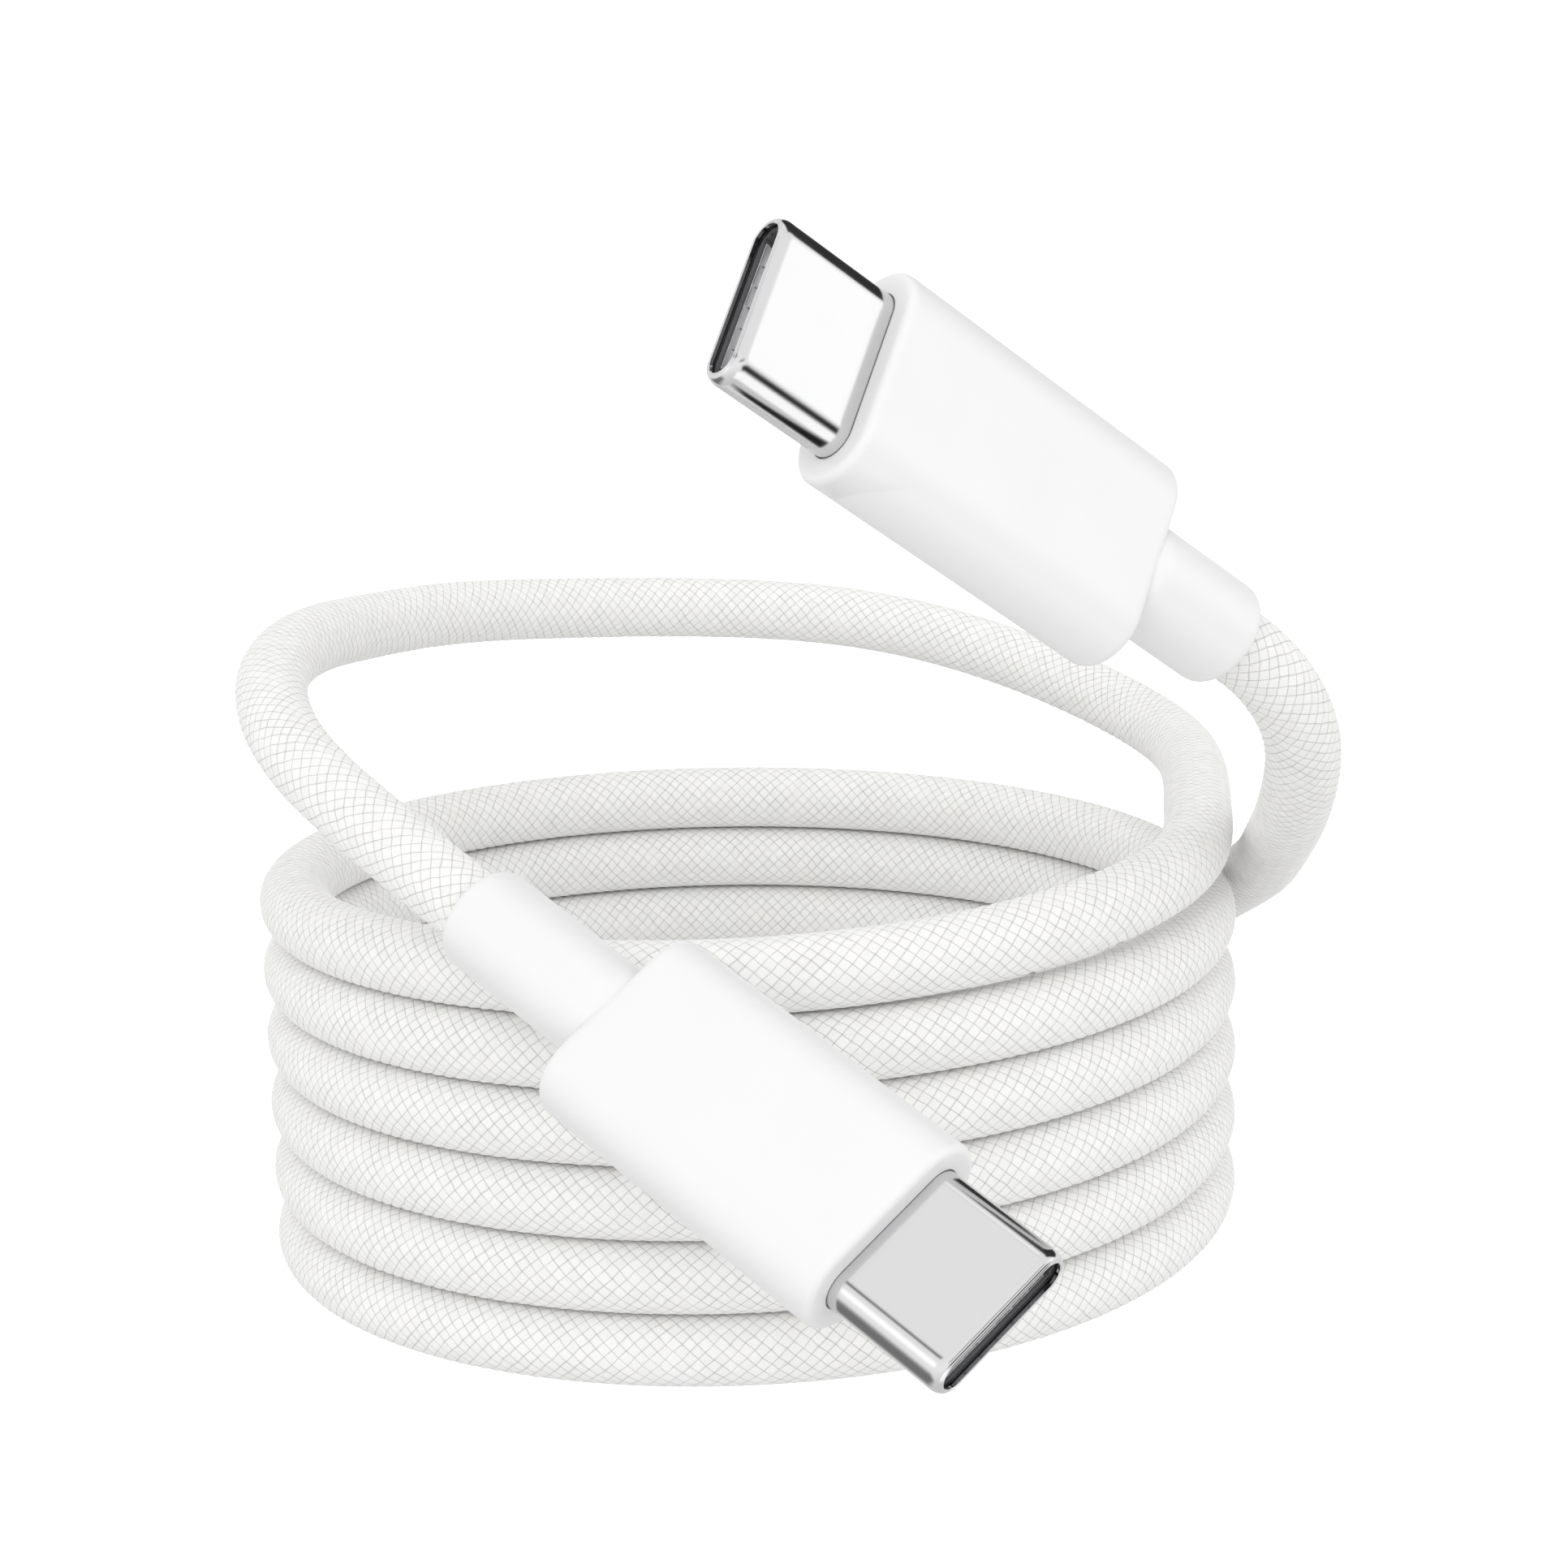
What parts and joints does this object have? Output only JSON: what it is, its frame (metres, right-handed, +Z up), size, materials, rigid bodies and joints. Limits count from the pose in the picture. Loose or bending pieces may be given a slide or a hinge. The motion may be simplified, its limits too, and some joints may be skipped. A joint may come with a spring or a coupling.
{
  "type": "charging cable",
  "caption": "Braided charging cable with a reversible rectangular metal plug at each end, stored as a standing coil with a loose top loop.",
  "frame": {"origin": "centre of the whole object's footprint, on the surface the coil stands on", "axes": "+Z up the coil's axis, -Y to the front where plug A lies, +X to the right where the lead to plug B comes round"},
  "size_m": [0.0584, 0.0829, 0.0599],
  "materials": {
    "braided_cord": "white polyester braid, matt",
    "shell_steel": "polished stainless steel",
    "black_moulding": "moulded, satin",
    "spring_steel": "bare spring steel",
    "contact_gold": "gold plated",
    "circuit_board": "solder mask, green",
    "chip_black": "moulded",
    "tinned_metal": "tin plated",
    "white_moulding": "white elastomer, satin gloss",
    "core_red": "wire insulation",
    "core_black": "wire insulation",
    "core_white": "wire insulation"
  },
  "bodies": {
    "cable": {"cable_coil": "braided_cord", "cable_lead_a": "braided_cord", "cable_lead_b": "braided_cord", "shell_a": "shell_steel", "insulator_a": "black_moulding", "boot_a": "white_moulding", "collar_a": "white_moulding", "emi_spring_top_a": "spring_steel", "emi_spring_bottom_a": "spring_steel", "paddle_card_a": "circuit_board", "emarker_chip_a": "chip_black", "shield_can_top_a": "tinned_metal", "shield_can_bottom_a": "tinned_metal", "crimp_ferrule_a": "tinned_metal", "wire_vbus_a": "core_red", "wire_gnd_a": "core_black", "wire_cc_a": "core_white", "shell_b": "shell_steel", "insulator_b": "black_moulding", "boot_b": "white_moulding", "collar_b": "white_moulding", "emi_spring_top_b": "spring_steel", "emi_spring_bottom_b": "spring_steel", "paddle_card_b": "circuit_board", "emarker_chip_b": "chip_black", "shield_can_top_b": "tinned_metal", "shield_can_bottom_b": "tinned_metal", "crimp_ferrule_b": "tinned_metal", "wire_vbus_b": "core_red", "wire_gnd_b": "core_black", "wire_cc_b": "core_white"},
    "latch_left_a": {"latch_left_a": "spring_steel"},
    "latch_right_a": {"latch_right_a": "spring_steel"},
    "contacts_top_a": {"contact_top_gnd1_a": "contact_gold", "contact_top_vbus1_a": "contact_gold", "contact_top_cc_a": "contact_gold", "contact_top_dp_a": "contact_gold", "contact_top_dn_a": "contact_gold", "contact_top_vbus2_a": "contact_gold", "contact_top_gnd2_a": "contact_gold"},
    "contacts_bottom_a": {"contact_bottom_gnd1_a": "contact_gold", "contact_bottom_vbus1_a": "contact_gold", "contact_bottom_vconn_a": "contact_gold", "contact_bottom_vbus2_a": "contact_gold", "contact_bottom_gnd2_a": "contact_gold"},
    "latch_left_b": {"latch_left_b": "spring_steel"},
    "latch_right_b": {"latch_right_b": "spring_steel"},
    "contacts_top_b": {"contact_top_gnd1_b": "contact_gold", "contact_top_vbus1_b": "contact_gold", "contact_top_cc_b": "contact_gold", "contact_top_dp_b": "contact_gold", "contact_top_dn_b": "contact_gold", "contact_top_vbus2_b": "contact_gold", "contact_top_gnd2_b": "contact_gold"},
    "contacts_bottom_b": {"contact_bottom_gnd1_b": "contact_gold", "contact_bottom_vbus1_b": "contact_gold", "contact_bottom_vconn_b": "contact_gold", "contact_bottom_vbus2_b": "contact_gold", "contact_bottom_gnd2_b": "contact_gold"}
  },
  "joints": [
    {"name": "latch_left_flex_a", "type": "hinge", "parent": "cable", "child": "latch_left_a", "pos_m": [0.00617, -0.03339, 0.01776], "axis": [-0.1782, -0.654, 0.7352], "range_deg": [0, 3], "stiffness_Nm_per_rad": 0.1},
    {"name": "latch_right_flex_a", "type": "hinge", "parent": "cable", "child": "latch_right_a", "pos_m": [0.00165, -0.03616, 0.0142], "axis": [0.1782, 0.654, -0.7352], "range_deg": [0, 3], "stiffness_Nm_per_rad": 0.1},
    {"name": "contacts_top_flex_a", "type": "hinge", "parent": "cable", "child": "contacts_top_a", "pos_m": [0.00364, -0.03484, 0.01638], "axis": [-0.7083, -0.4334, -0.5572], "range_deg": [0, 2], "stiffness_Nm_per_rad": 0.4},
    {"name": "contacts_bottom_flex_a", "type": "hinge", "parent": "cable", "child": "contacts_bottom_a", "pos_m": [0.00377, -0.03434, 0.01582], "axis": [0.7083, 0.4334, 0.5572], "range_deg": [0, 2], "stiffness_Nm_per_rad": 0.4},
    {"name": "latch_left_flex_b", "type": "hinge", "parent": "cable", "child": "latch_left_b", "pos_m": [0.00304, -0.02961, 0.04998], "axis": [0.6252, -0.7568, 0.1908], "range_deg": [0, 3], "stiffness_Nm_per_rad": 0.1},
    {"name": "latch_right_flex_b", "type": "hinge", "parent": "cable", "child": "latch_right_b", "pos_m": [0.00517, -0.02655, 0.05515], "axis": [-0.6252, 0.7568, -0.1908], "range_deg": [0, 3], "stiffness_Nm_per_rad": 0.1},
    {"name": "contacts_top_flex_b", "type": "hinge", "parent": "cable", "child": "contacts_top_b", "pos_m": [0.00455, -0.02823, 0.05247], "axis": [0.3341, 0.4805, 0.8109], "range_deg": [0, 2], "stiffness_Nm_per_rad": 0.4},
    {"name": "contacts_bottom_flex_b", "type": "hinge", "parent": "cable", "child": "contacts_bottom_b", "pos_m": [0.00408, -0.02766, 0.05232], "axis": [-0.3341, -0.4805, -0.8109], "range_deg": [0, 2], "stiffness_Nm_per_rad": 0.4}
  ]
}
